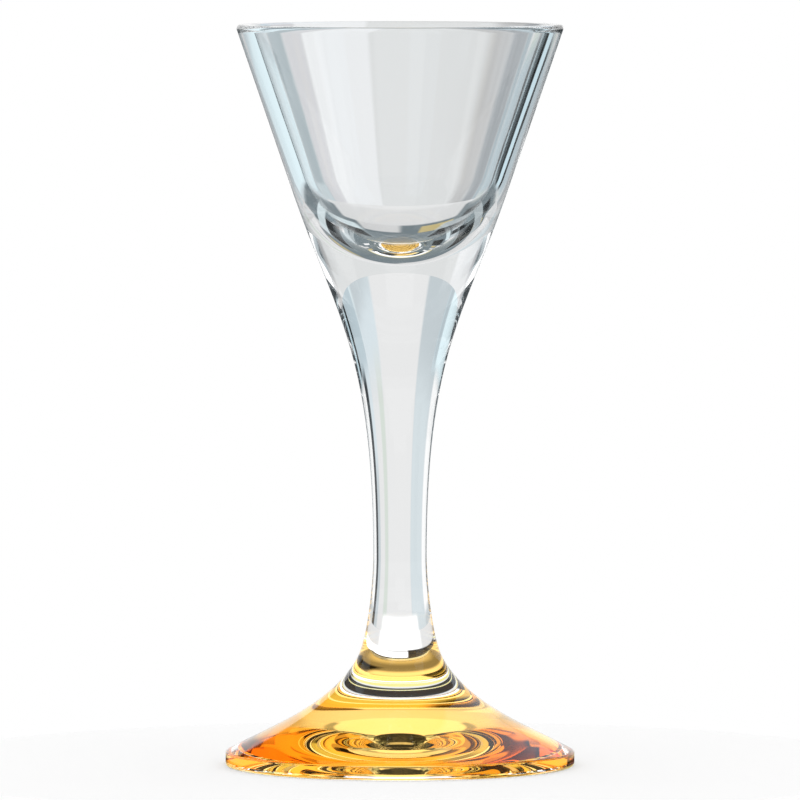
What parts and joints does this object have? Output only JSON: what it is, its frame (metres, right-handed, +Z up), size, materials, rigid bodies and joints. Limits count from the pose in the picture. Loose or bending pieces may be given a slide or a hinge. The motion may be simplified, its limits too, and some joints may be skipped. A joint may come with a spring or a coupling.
{
  "type": "cordial glass",
  "caption": "Clear cordial glass: a thick conical bowl on a solid waisted stem, with an amber coat under its dished foot. It holds a small measure of liqueur and stands on a table.",
  "frame": {"origin": "middle of the ring that the foot stands on, in the plane of the table", "axes": "+Z up along the glass's axis; the glass is round, so X and Y are any two level directions"},
  "size_m": [0.0518, 0.0518, 0.11],
  "materials": {
    "clear_bowl": "fire-polished clear glass",
    "clear_stem": "fire-polished clear glass",
    "clear_foot": "fire-polished clear glass",
    "amber_coat": "transparent amber coat, glossy"
  },
  "bodies": {
    "root": {"bowl": "clear_bowl", "stem": "clear_stem", "foot": "clear_foot", "foot_coat": "amber_coat"}
  },
  "joints": []
}
